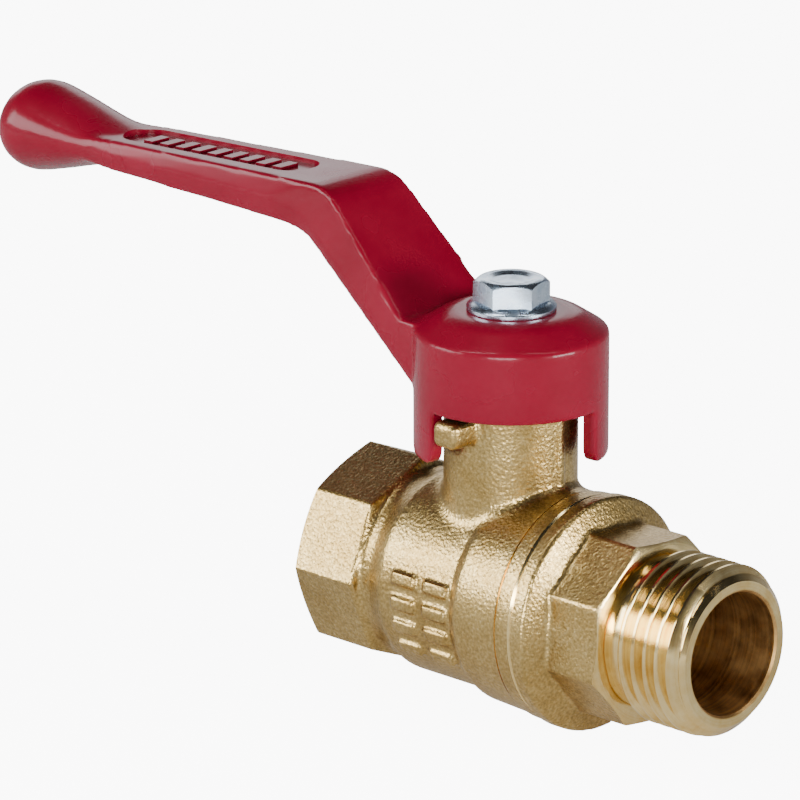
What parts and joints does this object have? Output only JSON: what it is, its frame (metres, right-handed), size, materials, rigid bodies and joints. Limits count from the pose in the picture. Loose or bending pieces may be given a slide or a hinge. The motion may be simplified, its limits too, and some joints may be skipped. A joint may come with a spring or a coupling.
{
  "type": "ball valve",
  "caption": "Quarter-turn brass ball valve with a female and a male pipe thread and a cranked red lever held by a flanged screw.",
  "frame": {"origin": "centre of the ball, where the pipe axis and the stem axis cross", "axes": "+X along the pipe axis towards the male thread, +Z along the stem towards the lever, +Y completes the right-handed frame; the lever points to -X while the valve is open"},
  "size_m": [0.1212, 0.0288, 0.0634],
  "materials": {
    "forged_brass": "shot-blasted forging with a fine grain",
    "turned_brass": "turned, satin",
    "chromed_ball": "polished chrome plate",
    "ptfe": "matte white",
    "seal_rubber": "matte black",
    "red_enamel": "glossy stoved enamel",
    "zinc_steel": "bright zinc plate"
  },
  "bodies": {
    "housing": {"valve_body": "forged_brass", "end_adapter": "forged_brass", "body_seal_ring": "ptfe", "seat_ring_inlet": "ptfe", "seat_ring_outlet": "ptfe", "thrust_washer": "ptfe", "packing_ring_1": "ptfe", "packing_ring_2": "ptfe", "packing_ring_3": "ptfe", "gland_nut": "turned_brass"},
    "handle": {"lever": "red_enamel", "lever_screw": "zinc_steel", "stem": "turned_brass", "stem_o_ring_1": "seal_rubber", "stem_o_ring_2": "seal_rubber"},
    "closure": {"ball": "chromed_ball"}
  },
  "joints": [
    {"name": "lever_turn", "type": "hinge", "parent": "housing", "child": "handle", "pos_m": [0, 0, 0.024], "axis": [0, 0, -1], "range_deg": [0, 90]},
    {"name": "ball_turn", "type": "hinge", "parent": "housing", "child": "closure", "pos_m": [0, 0, 0], "axis": [0, 0, -1], "range_deg": [0, 90]}
  ],
  "couplings": [
    {"joint": "ball_turn", "follows": "lever_turn", "ratio": 1}
  ]
}
